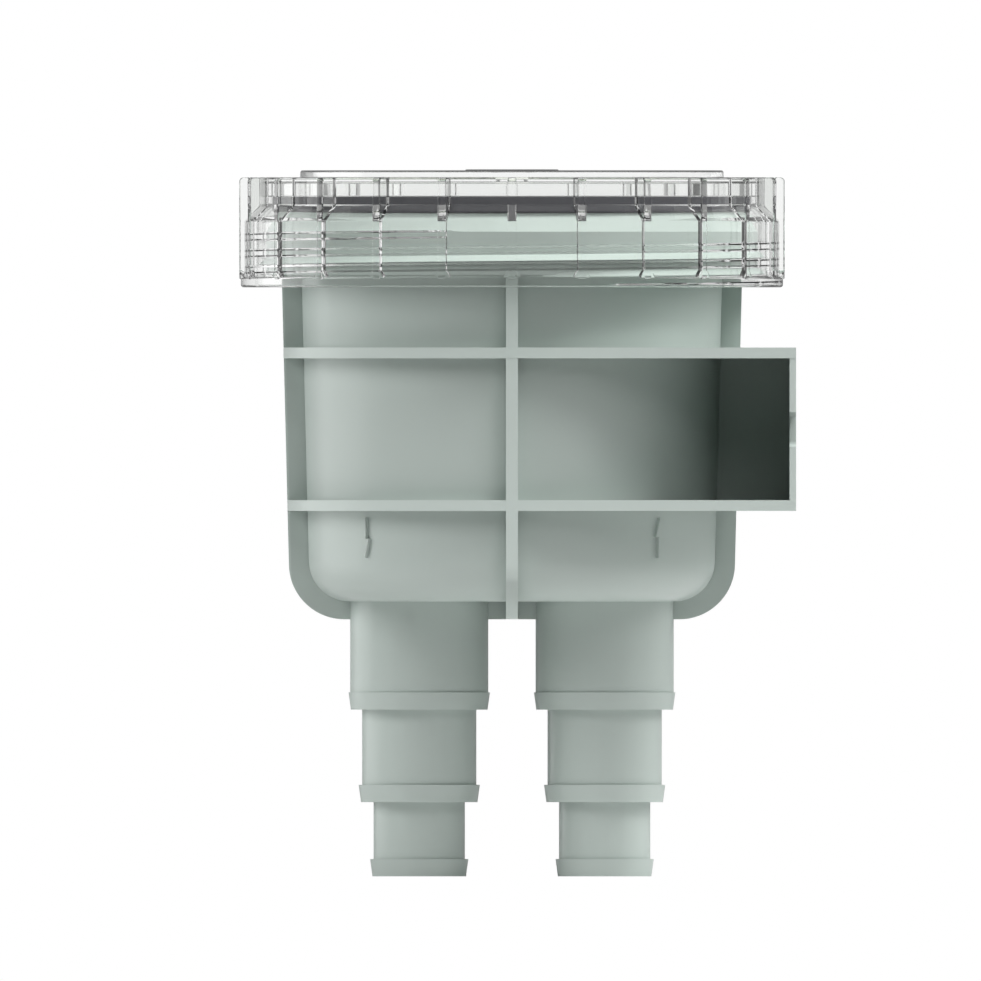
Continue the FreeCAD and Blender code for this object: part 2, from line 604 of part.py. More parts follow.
def add_grip_ribs(body):
    """Upright grip ribs, each with a flared foot on the skirt ring."""
    head_foot = f"({CAP_TOP} - dims.cap_head_height)"
    cone_foot = f"({head_foot} - dims.cap_cone_height)"
    skirt_top = f"({CAP_EDGE} + dims.skirt_height)"
    in_head = f"{CAP_HEAD_RADIUS} - dims.cap_wall / 2"
    in_wall = f"{CAP_RADIUS} - dims.cap_wall / 2"
    outline = sketch_on(body, "grip_outline", "XZ_Plane")
    draw_outline(outline, [
        (in_head, CAP_TOP),
        (GRIP_RADIUS, CAP_TOP, "dims.cap_rounding"),
        (GRIP_RADIUS, f"{skirt_top} - dims.skirt_height / 2"),
        (in_wall, f"{skirt_top} - dims.skirt_height / 2"),
        (in_wall, cone_foot),
        (in_head, head_foot),
    ])
    grip = extrude(body, "Pad", "grip", outline, "dims.grip_thickness", symmetric=True)
    repeat_round(body, "grip_ring", grip, outline, "dims.grip_count")
    foot = sketch_on(body, "grip_foot_outline", "YZ_Plane", along=in_wall)
    draw_outline(foot, [
        ("-dims.grip_foot_width / 2", CAP_EDGE),
        ("dims.grip_foot_width / 2", CAP_EDGE),
        ("dims.grip_thickness / 2", skirt_top),
        ("-dims.grip_thickness / 2", skirt_top),
    ])
    grip_foot = extrude(body, "Pad", "grip_foot", foot, f"{GRIP_RADIUS} - ({in_wall})")
    repeat_round(body, "grip_foot_ring", grip_foot, foot, "dims.grip_count")


def make_cap(document):
    """Clear screw cap, one moulding."""
    body = new_body(document, "screw_cap")
    add_cap_shell(body)
    add_grip_ribs(body)
    return body


def check(document, bodies):
    """Stops if any object failed or any piece isn't one sound solid."""
    for item in document.Objects:
        if "Invalid" in item.State or "Error" in item.State:
            raise RuntimeError(f"{item.Name} failed: {item.State}")
    for body in bodies:
        if body.Shape.isNull() or not body.Shape.isValid():
            raise RuntimeError(f"{body.Label} has no sound shape")
        if len(body.Shape.Solids) != 1:
            raise RuntimeError(f"{body.Label} has {len(body.Shape.Solids)} solids")


def main():
    document = FreeCAD.newDocument("sea_water_strainer")
    write_sheet(document)
    bodies = [maker(document) for maker in (make_housing, make_basket, make_gasket, make_cap)]
    document.recompute()
    check(document, bodies)
    os.makedirs("parts", exist_ok=True)
    for body in bodies:
        body.Shape.exportStep(f"parts/{body.Label}.step")
        box = body.Shape.BoundBox
        print(f"{body.Label}: {body.Shape.Volume:.0f} mm3, x {box.XMin:.2f} to {box.XMax:.2f}, "
              f"y {box.YMin:.2f} to {box.YMax:.2f}, z {box.ZMin:.2f} to {box.ZMax:.2f}")


main()
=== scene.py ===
"""Looks of the sea water strainer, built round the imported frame.

Pieces are drawn in millimetres about the tub's upright axis, with height 0 at the hose tails'
tips and the front towards -Y. finish_piece() then carries each one into the frame, in metres.
"""

import math

import bmesh
import bpy
from mathutils import Matrix, Vector


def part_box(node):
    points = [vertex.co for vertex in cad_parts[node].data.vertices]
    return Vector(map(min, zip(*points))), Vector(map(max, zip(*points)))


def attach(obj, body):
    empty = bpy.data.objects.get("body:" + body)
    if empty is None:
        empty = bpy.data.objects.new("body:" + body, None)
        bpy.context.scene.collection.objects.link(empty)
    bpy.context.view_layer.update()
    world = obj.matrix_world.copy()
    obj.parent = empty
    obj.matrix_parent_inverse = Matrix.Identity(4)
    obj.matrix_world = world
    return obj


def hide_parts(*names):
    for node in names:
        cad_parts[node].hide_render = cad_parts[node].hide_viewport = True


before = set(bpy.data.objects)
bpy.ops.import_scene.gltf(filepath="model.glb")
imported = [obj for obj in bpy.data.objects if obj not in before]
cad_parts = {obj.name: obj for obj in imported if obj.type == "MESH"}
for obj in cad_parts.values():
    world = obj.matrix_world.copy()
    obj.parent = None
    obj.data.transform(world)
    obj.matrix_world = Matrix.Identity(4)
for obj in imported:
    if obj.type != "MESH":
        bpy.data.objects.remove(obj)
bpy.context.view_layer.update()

MILLIMETRE = 0.001
cap_low, cap_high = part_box("screw_cap")
AXIS_X = (cap_low.x + cap_high.x) / 2
FLOOR_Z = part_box("housing")[0].z
TO_FRAME = Matrix.Translation((AXIS_X, 0, FLOOR_Z)) @ Matrix.Scale(MILLIMETRE, 4)

# Tub and neck: heights above the tips, and radii
TUB_FOOT = 58.7
WALL = 2.4
SHOULDER = 128.5
LEDGE = SHOULDER + WALL
NECK_RIM = 141.0
TUB_FOOT_RADIUS = 43.2
TUB_HEAD_RADIUS = 44.95
TUB_CORNER = 8.7
NECK_RADIUS = 52.5
NECK_BORE = 48.3
LEAD_IN_FOOT = 137.7
LEAD_IN_HEAD = 140.4
LEAD_IN_RADIUS = 50.7

# Crossed ribs, and how far in from their outer edges the painted highlight reaches
RIB_REACH = 4.25
RIB_DROP = 3.8
RIB_CORNER = 11.85
RIB_THICKNESS = 2.57
PAINTED_HIGHLIGHT_DEPTH = 0.6

# Horizontal ribs and bracket; the slot's mouth is past the end plate's edge
PLATE_THICKNESS = 2.3
PLATE_INSET = 0.01
BRACKET_REACH = 60.7
BRACKET_MIDDLE = 95.5
BRACKET_HEIGHT = 34.9
BRACKET_FOOT = BRACKET_MIDDLE - BRACKET_HEIGHT / 2
BRACKET_HEAD = BRACKET_MIDDLE + BRACKET_HEIGHT / 2
FACE_THICKNESS = 1.4
WEB_INSET = 0.5
SLOT_WIDTH = 7.4
SLOT_CORNER = 1.2
SLOT_DEPTH = 16.0
SLOT_MOUTH = 60.0
SLOT_CUTTER = 3.0

# Hose tails: foot and radius of each step, and how far its collar stands out
TAIL_OFFSET = 19.8
TAIL_STEPS = ((0, 9.75, 0.75), (15.85, 12.2, 0.75), (35.6, 14.75, 0.35))
COLLAR_HEIGHT = 3.7
COLLAR_TAPER = 0.5

# Bores of the tails, and the standpipe over the inlet
TIP_BORE = 7.6
TIP_BORE_TOP = 18.0
MID_BORE = 10.0
MID_BORE_TOP = 37.7
TOP_BORE = 12.3
OUTLET_MOUTH = 12.29
STANDPIPE_TOP = 122.0
STANDPIPE_RADIUS = 12.8
STANDPIPE_BORE = 10.8

# Screw cap
CAP_TOP = 149.3
CAP_EDGE = 125.8
CAP_LAND = 145.4
CAP_WALL = 2.4
CAP_BORE = 54.8
CAP_RADIUS = CAP_BORE + CAP_WALL
CAP_HEAD_BORE = 51.7
CAP_HEAD_RADIUS = CAP_HEAD_BORE + CAP_WALL
CAP_HEAD_FOOT = CAP_TOP - 6.1
CAP_CONE_FOOT = CAP_HEAD_FOOT - 3.3
INNER_CONE_FOOT = 140.0
INNER_CONE_HEAD = 143.55
SKIRT_TOP = CAP_EDGE + 2.3
SKIRT_RISE = 0.7
PLATEAU_RADIUS = 45.2
PLATEAU_TOP = CAP_TOP + 1.5
BOSS_RADIUS = 9.8
BOSS_SLOPE = 0.2
BOSS_TOP = PLATEAU_TOP + 0.2
MIDDLE_UNDERSIDE = PLATEAU_TOP - 2.4
REGISTER_RADIUS = 47.5
REGISTER_BORE = 45.7
REGISTER_FOOT = CAP_LAND - 2.4
CONE_ROUNDING = 0.8
SKIRT_ROUNDING = 0.6
EDGE_ROUNDING = 0.5
INNER_ROUNDING = 0.3

# Grip ribs, each with a flared foot on the cap's lower ring
GRIP_COUNT = 24
GRIP_RADIUS = 58.25
GRIP_THICKNESS = 1.9
GRIP_CORNER = 0.9
GRIP_ROUNDING = 0.4
GRIP_SUNK = 0.6
FOOT_WIDTH = 3.5
FOOT_HEIGHT = 1.4
FOOT_EDGE = 0.3
FOOT_INSET = 0.1
FOOT_ROUNDING = 0.3

# Gasket
GASKET_BORE = 47.8
GASKET_RADIUS = 51.2

# Threads: sections as heights of root, crest, crest and root, and first and last turn
THREAD_PITCH = 3.5
THREAD_AT_FRONT = 132.05
THREAD_SUNK = 0.1
THREAD_TAPER = 0.08
THREAD_END = 0.02
NECK_CREST = 54.0
NECK_SECTION = (-0.75, -0.65, -0.5, 0.8)
NECK_TURNS = (-0.98, 0.62)
CAP_CREST = 53.0
CAP_SECTION = (-0.95, -0.45, 0.45, 0.95)
CAP_TURNS = (-0.95, 1.974)

# Flow arrows on the tub: name, degrees from the front, and whether it points up
ARROWS = (("outlet_arrow", -45.2, False), ("inlet_arrow", 45.5, True))
ARROW_MIDDLE = 72.3
ARROW_LENGTH = 8.7
ARROW_HEAD = 4.2
ARROW_HEAD_HALF = 1.15
ARROW_SHAFT_HALF = 0.32
ARROW_SUNK = 0.4
ARROW_LIFT = 0.8

# Roundings, and the least angles, in degrees, at which an edge is rounded or stays sharp
HOUSING_ROUNDING = 0.3
CAP_ROUNDING = 0.2
FINE_ROUNDING = 0.1
LEAD_IN_ANGLE = 20
ROUNDED_ANGLE = 35
SHARP_ANGLE = 40
CLEAR_ANGLE = 28

# Fineness of the meshes, how far a cutter or a joined piece runs on, and the gap that keeps two
# faces out of one plane
ROUND_FACETS = 192
CAP_FACETS = 288
TAIL_FACETS = 96
CORNER_FACETS = 6
CORNER_FACET = 0.8
AXIS_REACH = 1e-6
WELD_REACH = 0.01
OVERCUT = 1.0
HAIR = 0.02

# Colours, as display values from 0 to 255
HOUSING_LIGHT = (187, 197, 192)
HOUSING_DARK = (184, 194, 189)
# Painted highlight: a paler housing colour laid on the ribs' outer edges and the neck's lead-in,
# where more light falls
HOUSING_PAINTED_HIGHLIGHT = (200, 210, 205)
# Painted highlight: the neck thread is the housing's own plastic drawn paler, as its crests catch
# light from above
THREAD_PAINTED_HIGHLIGHT_LIGHT = (204, 214, 209)
THREAD_PAINTED_HIGHLIGHT_DARK = (201, 211, 206)
BASKET_LIGHT = (214, 216, 208)
BASKET_DARK = (210, 212, 204)
RUBBER_LIGHT = (84, 83, 88)
RUBBER_DARK = (74, 74, 78)
CLEAR = (250, 251, 250)
WHITE = (1, 1, 1, 1)

# Noise patterns, as scale and detail
FLOW_MARKS = (38, 3)
SATIN_PATCHES = (300, 2)
ERODED_GRAIN = (5000, 2)
RUBBER_BLOOM = (120, 4)
RUBBER_GRAIN = (1500, 2)
CLEAR_PATCHES = (60, 2)

# Surfaces: roughness, strength of the grain and its depth in metres
HOUSING_ROUGHNESS = 0.31
HOUSING_GRAIN = 0.03
BASKET_ROUGHNESS = 0.45
BASKET_GRAIN = 0.02
ROUGHNESS_SPREAD = 0.02
GRAIN_DEPTH = 0.00001
RUBBER_ROUGHNESS = (0.5, 0.62)
CLEAR_ROUGHNESS = (0.01, 0.05)
CLEAR_IOR = 1.5
SATIN_SPECULAR = 0.2

# Clear wall: bounces after which caught light leaves it, and what it lets through of that light
# and of the lamps'
WALL_BOUNCES = 5.5
CAUGHT_LIGHT = (0.45, 0.45, 0.45, 1)
LAMP_LIGHT = (0.99, 1, 0.995, 1)

# Studio: strengths of the world, and where its parts begin and end, as shares of a direction
STUDIO_FILL = 0.03
STUDIO_DARK = 0.35
STUDIO_CEILING = 0.8
STUDIO_GLOSS = 0.3
PANEL_GLOSS = 2.0
BACKDROP_SPAN = (-0.1, 0.5)
CEILING_SPAN = (0.35, 0.85)
PANEL_LEFT_SPAN = (-0.6, -0.8)
PANEL_BACK_SPAN = (-0.04, 0.06)

# Lamps: name, azimuth and elevation in degrees, and watts; size and distance in metres
LAMP_SIZE = 0.6
LAMP_DISTANCE = 1.2
LAMPS = (
    ("left_side", -100, 0, 3.3),
    ("left_high", -72, 30, 6.6),
    ("right_side", 100, 0, 2.2),
    ("right_back", 98, 30, 6.6),
    ("right_high", 50, 60, 14.0),
    ("front_high", 15, 34, 2.7),
)

# Floor: radius and drop in millimetres, its glow, and the reach in metres where it fades out
FLOOR_RADIUS = 900
FLOOR_SIDES = 64
FLOOR_DROP = 0.05
FLOOR_GREY = (0.7, 0.7, 0.7, 1)
FLOOR_GLOW = 0.85
FLOOR_BOUNCE = 0.12
FLOOR_FADE = (0.12, 0.4)

# Camera, in metres: width of the view, its middle from the axis and above the tips, distance,
# and the nearest and farthest that it shows
VIEW_WIDTH = 0.20953
VIEW_ASIDE = 0.00458
VIEW_MIDDLE = 0.08241
CAMERA_DISTANCE = 2.0
CAMERA_NEAREST = 0.01
CAMERA_FARTHEST = 20


def rounded(corners):
    """Outline points from corners given as (across, up) or (across, up, radius)."""
    points = []
    for index, corner in enumerate(corners):
        point = Vector(corner[:2])
        if len(corner) == 2:
            points.append(point)
            continue
        before = (Vector(corners[index - 1][:2]) - point).normalized()
        after = (Vector(corners[(index + 1) % len(corners)][:2]) - point).normalized()
        half_angle = before.angle(after) / 2
        middle = point + (before + after).normalized() * (corner[2] / math.sin(half_angle))
        begin = point + before * (corner[2] / math.tan(half_angle)) - middle
        turn = begin.angle_signed(point + after * (corner[2] / math.tan(half_angle)) - middle)
        steps = max(CORNER_FACETS, round(abs(turn) * corner[2] / CORNER_FACET))
        for step in range(steps + 1):
            points.append(middle + Matrix.Rotation(-turn * step / steps, 2) @ begin)
    return points


def add_mesh(name, vertices, faces):
    mesh = bpy.data.meshes.new(name)
    mesh.from_pydata([tuple(vertex) for vertex in vertices], [], faces)
    shape = bmesh.new()
    shape.from_mesh(mesh)
    bmesh.ops.recalc_face_normals(shape, faces=shape.faces)
    shape.to_mesh(mesh)
    shape.free()
    piece = bpy.data.objects.new(name, mesh)
    bpy.context.scene.collection.objects.link(piece)
    return piece


def lathe(name, corners, centre_x=0.0, facets=ROUND_FACETS):
    """A closed outline turned about an upright axis."""
    vertices, rings = [], []
    for point in rounded(corners):
        if point.x < AXIS_REACH:
            rings.append([len(vertices)])
            vertices.append((centre_x, 0, point.y))
            continue
        rings.append(list(range(len(vertices), len(vertices) + facets)))
        for step in range(facets):
            angle = math.tau * step / facets
            vertices.append((centre_x + point.x * math.cos(angle), point.x * math.sin(angle),
                             point.y))
    faces = []
    for ring, following in zip(rings, rings[1:] + rings[:1]):
        for step in range(facets):
            ahead = (step + 1) % facets
            corner_ids = [ring[step % len(ring)], ring[ahead % len(ring)],
                          following[ahead % len(following)], following[step % len(following)]]
            face = list(dict.fromkeys(corner_ids))
            if len(face) > 2:
                faces.append(face)
    return add_mesh(name, vertices, faces)


def prism_faces(count):
    """Faces between two outlines of the same number of points, both ends closed."""
    faces = [list(range(count)), list(range(count, 2 * count))]
    for index in range(count):
        ahead = (index + 1) % count
        faces.append([index, ahead, count + ahead, count + index])
    return faces


def slab(name, corners, plane, low, high):
    """An outline drawn in the XZ, YZ or XY plane and given a thickness from low to high."""
    outline = rounded(corners)
    across, up = {"XZ": (0, 2), "YZ": (1, 2), "XY": (0, 1)}[plane]
    vertices = []
    for depth in (low, high):
        for point in outline:
            vertex = [depth, depth, depth]
            vertex[across], vertex[up] = point
            vertices.append(vertex)
    return add_mesh(name, vertices, prism_faces(len(outline)))


def box(name, low, high):
    corners = [(low[0], low[1]), (high[0], low[1]), (high[0], high[1]), (low[0], high[1])]
    return slab(name, corners, "XY", low[2], high[2])


def settle(piece):
    """Turns a piece's modifiers into its mesh."""
    scene_state = bpy.context.evaluated_depsgraph_get()
    mesh = bpy.data.meshes.new_from_object(piece.evaluated_get(scene_state))
    piece.modifiers.clear()
    piece.data = mesh


def combine(piece, tool, operation):
    """Joins the tool to the piece, or cuts it out of the piece, and removes the tool."""
    modifier = piece.modifiers.new("combine", "BOOLEAN")
    modifier.operation = operation
    modifier.solver = "EXACT"
    modifier.object = tool
    settle(piece)
    bpy.data.objects.remove(tool)


def weld(piece):
    """Joins points closer than the eye can tell, so that no face is left without a surface."""
    shape = bmesh.new()
    shape.from_mesh(piece.data)
    bmesh.ops.remove_doubles(shape, verts=shape.verts, dist=WELD_REACH)
    bmesh.ops.dissolve_degenerate(shape, edges=shape.edges, dist=WELD_REACH)
    shape.to_mesh(piece.data)
    shape.free()


def soften(piece, width, segments=2, angle=ROUNDED_ANGLE):
    """Rounds the edges, and fills the inner corners, as a moulding has them."""
    weld(piece)
    modifier = piece.modifiers.new("soften", "BEVEL")
    modifier.width = width
    modifier.segments = segments
    modifier.limit_method = "ANGLE"
    modifier.angle_limit = math.radians(angle)
    modifier.miter_outer = "MITER_ARC"
    settle(piece)
    weld(piece)


def finish_piece(piece, body, material, sharp_angle=SHARP_ANGLE):
    """Shades a piece, carries it into the frame and lets it ride on its body."""
    piece.data.transform(TO_FRAME)
    piece.data.shade_smooth()
    piece.data.set_sharp_from_angle(angle=math.radians(sharp_angle))
    weighted = piece.modifiers.new("weighted", "WEIGHTED_NORMAL")
    weighted.keep_sharp = True
    settle(piece)
    piece.data.materials.clear()
    piece.data.materials.append(material)
    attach(piece, body)


def tub_radius_at(height):
    share = (height - TUB_FOOT) / (SHOULDER - TUB_FOOT)
    return TUB_FOOT_RADIUS + share * (TUB_HEAD_RADIUS - TUB_FOOT_RADIUS)


def rib_reach_at(height):
    return tub_radius_at(height) + RIB_REACH


def linear(red, green, blue):
    """Linear colour from 0 to 255 display values."""
    channels = []
    for value in (red, green, blue):
        share = value / 255
        channels.append(share / 12.92 if share <= 0.04045 else ((share + 0.055) / 1.055) ** 2.4)
    return (*channels, 1.0)


def new_material(name):
    material = bpy.data.materials.new(name)
    material.use_nodes = True
    return material, material.node_tree, material.node_tree.nodes["Principled BSDF"]


def feed(tree, socket, value):
    """Links a socket to another node's output, or sets it to a plain value."""
    if isinstance(value, bpy.types.NodeSocket):
        tree.links.new(value, socket)
    else:
        socket.default_value = value


def math_node(tree, operation, *values):
    node = tree.nodes.new("ShaderNodeMath")
    node.operation = operation
    for socket, value in zip(node.inputs, values):
        feed(tree, socket, value)
    return node.outputs["Value"]


def spread(tree, source, span, low, high, interpolation="LINEAR"):
    """Spreads the span of a source's values from low to high."""
    node = tree.nodes.new("ShaderNodeMapRange")
    node.interpolation_type = interpolation
    node.inputs["From Min"].default_value = span[0]
    node.inputs["From Max"].default_value = span[1]
    node.inputs["To Min"].default_value = low
    node.inputs["To Max"].default_value = high
    tree.links.new(source, node.inputs["Value"])
    return node.outputs["Result"]


def blend_colours(tree, share, first, second):
    """The first colour where the share is 0, and the second where it is 1."""
    node = tree.nodes.new("ShaderNodeMix")
    node.data_type = "RGBA"
    feed(tree, node.inputs["Factor"], share)
    feed(tree, node.inputs["A"], first)
    feed(tree, node.inputs["B"], second)
    return node.outputs["Result"]


def mix_shaders(tree, share, first, second):
    """The first shader where the share is 0, and the second where it is 1."""
    node = tree.nodes.new("ShaderNodeMixShader")
    tree.links.new(share, node.inputs["Fac"])
    tree.links.new(first, node.inputs[1])
    tree.links.new(second, node.inputs[2])
    return node.outputs["Shader"]


def see_through(tree, colour):
    node = tree.nodes.new("ShaderNodeBsdfTransparent")
    node.inputs["Color"].default_value = colour
    return node.outputs["BSDF"]


def place_in_frame(tree):
    """A surface point's place in the frame, in metres."""
    return tree.nodes.new("ShaderNodeTexCoord").outputs["Object"]


def separate(tree, vector):
    """The X, Y and Z of a vector."""
    node = tree.nodes.new("ShaderNodeSeparateXYZ")
    tree.links.new(vector, node.inputs["Vector"])
    return node.outputs["X"], node.outputs["Y"], node.outputs["Z"]


def mottle(tree, pattern, low, high):
    """A soft noise in the frame, spread from low to high."""
    noise = tree.nodes.new("ShaderNodeTexNoise")
    noise.inputs["Scale"].default_value = pattern[0]
    noise.inputs["Detail"].default_value = pattern[1]
    tree.links.new(place_in_frame(tree), noise.inputs["Vector"])
    return spread(tree, noise.outputs["Fac"], (0.0, 1.0), low, high)


def painted_highlight_share(tree):
    """Share of the painted highlight: 1 on the outer edges of the ribs and on the neck's lead-in,
    and 0 elsewhere.

    It goes by the distance from the tub's axis, but right of the axis and under the lead-in only
    by the distance from the mid-plane, so that the bracket's web gets no painted highlight.
    """
    along_x, along_y, along_z = separate(tree, place_in_frame(tree))
    lead_in = math_node(tree, "GREATER_THAN", along_z, FLOOR_Z + LEAD_IN_FOOT * MILLIMETRE)
    aside = math_node(tree, "SUBTRACT", along_x, AXIS_X)
    aside = math_node(tree, "MINIMUM", aside, lead_in)
    squares = math_node(tree, "ADD", math_node(tree, "POWER", aside, 2.0),
                        math_node(tree, "POWER", along_y, 2.0))
    radius = math_node(tree, "SQRT", squares)

    taper = (TUB_HEAD_RADIUS - TUB_FOOT_RADIUS) / (SHOULDER - TUB_FOOT)
    untapered = math_node(tree, "MULTIPLY_ADD", along_z, -taper, radius)
    edge = (rib_reach_at(TUB_FOOT) - PAINTED_HIGHLIGHT_DEPTH) * MILLIMETRE
    edge -= taper * (FLOOR_Z + TUB_FOOT * MILLIMETRE)
    painted_highlight = spread(tree, untapered, (edge, edge + PAINTED_HIGHLIGHT_DEPTH * MILLIMETRE / 2), 0.0, 1.0)

    neck_middle = FLOOR_Z + (SHOULDER + LEAD_IN_FOOT) / 2 * MILLIMETRE
    neck_half = (LEAD_IN_FOOT - SHOULDER) / 2 * MILLIMETRE
    neck = math_node(tree, "COMPARE", along_z, neck_middle, neck_half)
    return math_node(tree, "MULTIPLY", painted_highlight, math_node(tree, "SUBTRACT", 1.0, neck))


def moulded_plastic(name, light, dark, roughness, grain, painted_highlight=None):
    """Satin moulded plastic: faint flow marks in its colour, and a fine eroded grain.

    The painted highlight colour is laid on the ribs' outer edges and the neck's lead-in: painted
    light, paler where these would catch more light.
    """
    material, tree, shader = new_material(name)
    shader.inputs["Specular IOR Level"].default_value = SATIN_SPECULAR
    colour = blend_colours(tree, mottle(tree, FLOW_MARKS, 0.0, 1.0), linear(*dark), linear(*light))
    # Painted highlight: the ribs' outer edges and the neck's lead-in are made paler, as if more
    # light fell on them
    if painted_highlight:
        colour = blend_colours(tree, painted_highlight_share(tree), colour, linear(*painted_highlight))
    tree.links.new(colour, shader.inputs["Base Color"])
    satin = mottle(tree, SATIN_PATCHES, roughness - ROUGHNESS_SPREAD, roughness + ROUGHNESS_SPREAD)
    tree.links.new(satin, shader.inputs["Roughness"])
    bump = tree.nodes.new("ShaderNodeBump")
    bump.inputs["Strength"].default_value = grain
    bump.inputs["Distance"].default_value = GRAIN_DEPTH
    tree.links.new(mottle(tree, ERODED_GRAIN, 0.0, 1.0), bump.inputs["Height"])
    tree.links.new(bump.outputs["Normal"], shader.inputs["Normal"])
    return material


def rubber():
    """Black rubber with a faint grey bloom."""
    material, tree, shader = new_material("gasket_rubber")
    shader.inputs["Specular IOR Level"].default_value = SATIN_SPECULAR
    colour = blend_colours(tree, mottle(tree, RUBBER_BLOOM, 0.0, 1.0),
                           linear(*RUBBER_DARK), linear(*RUBBER_LIGHT))
    tree.links.new(colour, shader.inputs["Base Color"])
    tree.links.new(mottle(tree, RUBBER_GRAIN, *RUBBER_ROUGHNESS), shader.inputs["Roughness"])
    return material


def clear_plastic():
    """Clear cap: bends light, and lets the lamps through to what is under it.

    Light that is caught between the faces of the wall leaves it dimmed after a few bounces.
    """
    material, tree, shader = new_material("clear_plastic")
    shader.inputs["Base Color"].default_value = linear(*CLEAR)
    shader.inputs["Transmission Weight"].default_value = 1.0
    shader.inputs["IOR"].default_value = CLEAR_IOR
    tree.links.new(mottle(tree, CLEAR_PATCHES, *CLEAR_ROUGHNESS), shader.inputs["Roughness"])
    path = tree.nodes.new("ShaderNodeLightPath")
    caught = math_node(tree, "GREATER_THAN", path.outputs["Ray Depth"], WALL_BOUNCES)
    surface = shader.outputs["BSDF"]
    surface = mix_shaders(tree, caught, surface, see_through(tree, CAUGHT_LIGHT))
    surface = mix_shaders(tree, path.outputs["Is Shadow Ray"], surface,
                          see_through(tree, LAMP_LIGHT))
    tree.links.new(surface, tree.nodes["Material Output"].inputs["Surface"])
    return material


def plate(low, edge):
    """Horizontal rib: half a ring on the left, a straight bracket plate on the right."""
    end = BRACKET_REACH - PLATE_INSET
    outline = [(0, -edge), (end, -edge), (end, edge), (0, edge)]
    for step in range(1, ROUND_FACETS // 2):
        angle = math.pi / 2 + math.tau * step / ROUND_FACETS
        outline.append((edge * math.cos(angle), edge * math.sin(angle)))
    return slab("plate", outline, "XY", low, low + PLATE_THICKNESS)


def housing_block():
    """Tub, neck, crossed ribs, horizontal ribs and bracket, still solid inside."""
    piece = lathe("housing_shell", [
        (0, TUB_FOOT),
        (TUB_FOOT_RADIUS, TUB_FOOT, TUB_CORNER),
        (TUB_HEAD_RADIUS, SHOULDER),
        (NECK_RADIUS, SHOULDER),
        (NECK_RADIUS, LEAD_IN_FOOT),
        (LEAD_IN_RADIUS, LEAD_IN_HEAD),
        (LEAD_IN_RADIUS, NECK_RIM),
        (0, NECK_RIM),
    ])
    rib_foot = TUB_FOOT - RIB_DROP
    rib_head = SHOULDER + WALL / 2
    foot_reach, head_reach = rib_reach_at(rib_foot), rib_reach_at(SHOULDER)
    for plane in ("XZ", "YZ"):
        outline = [(-foot_reach, rib_foot, RIB_CORNER), (foot_reach, rib_foot, RIB_CORNER),
                   (head_reach, rib_head), (-head_reach, rib_head)]
        rib = slab("rib", outline, plane, -RIB_THICKNESS / 2, RIB_THICKNESS / 2)
        combine(piece, rib, "UNION")

    low_edge, high_edge = rib_reach_at(BRACKET_FOOT), rib_reach_at(BRACKET_HEAD)
    combine(piece, plate(BRACKET_FOOT, low_edge), "UNION")
    combine(piece, plate(BRACKET_HEAD - PLATE_THICKNESS, high_edge), "UNION")
    outline = [(-low_edge, BRACKET_FOOT), (low_edge, BRACKET_FOOT),
               (high_edge, BRACKET_HEAD), (-high_edge, BRACKET_HEAD)]
    end_plate = slab("end_plate", outline, "YZ", BRACKET_REACH - FACE_THICKNESS, BRACKET_REACH)
    combine(piece, end_plate, "UNION")
    web_low = (TUB_FOOT_RADIUS - OVERCUT, -RIB_THICKNESS / 2, BRACKET_FOOT + WEB_INSET)
    web_high = (BRACKET_REACH - WEB_INSET, RIB_THICKNESS / 2, BRACKET_HEAD - WEB_INSET)
    combine(piece, box("web", web_low, web_high), "UNION")
    return piece


def hose_tail(side):
    """One stepped hose tail, still solid; side is 1 for the inlet and -1 for the outlet."""
    head = TUB_FOOT + WALL / 2
    step_heads = [foot for foot, radius, rise in TAIL_STEPS[1:]] + [head]
    corners = [(0, 0)]
    for (foot, radius, rise), step_head in zip(TAIL_STEPS, step_heads):
        corners += [
            (radius + rise - COLLAR_TAPER, foot),
            (radius + rise, foot + COLLAR_HEIGHT),
            (radius, foot + COLLAR_HEIGHT),
            (radius, step_head),
        ]
    corners.append((0, head))
    return lathe("tail", corners, side * TAIL_OFFSET, TAIL_FACETS)


def tail_bore(side, top, mouth):
    """Cutter for a tail's stepped bore, up to the height top, where its radius is mouth."""
    return lathe("bore", [
        (0, -OVERCUT),
        (TIP_BORE, -OVERCUT),
        (TIP_BORE, TIP_BORE_TOP),
        (MID_BORE, TIP_BORE_TOP),
        (MID_BORE, MID_BORE_TOP),
        (TOP_BORE, MID_BORE_TOP),
        (TOP_BORE, TUB_FOOT),
        (mouth, TUB_FOOT),
        (mouth, top),
        (0, top),
    ], side * TAIL_OFFSET, TAIL_FACETS)


def bolt_slot(side):
    """Cutter for a bolt slot; side is 1 for the back and -1 for the front."""
    inner = rib_reach_at(BRACKET_HEAD) - SLOT_DEPTH
    lower = BRACKET_MIDDLE - SLOT_WIDTH / 2
    upper = BRACKET_MIDDLE + SLOT_WIDTH / 2
    outline = [(side * inner, lower, SLOT_CORNER), (side * SLOT_MOUTH, lower),
               (side * SLOT_MOUTH, upper), (side * inner, upper, SLOT_CORNER)]
    return slab("slot", outline, "YZ", BRACKET_REACH - SLOT_CUTTER, BRACKET_REACH + OVERCUT)


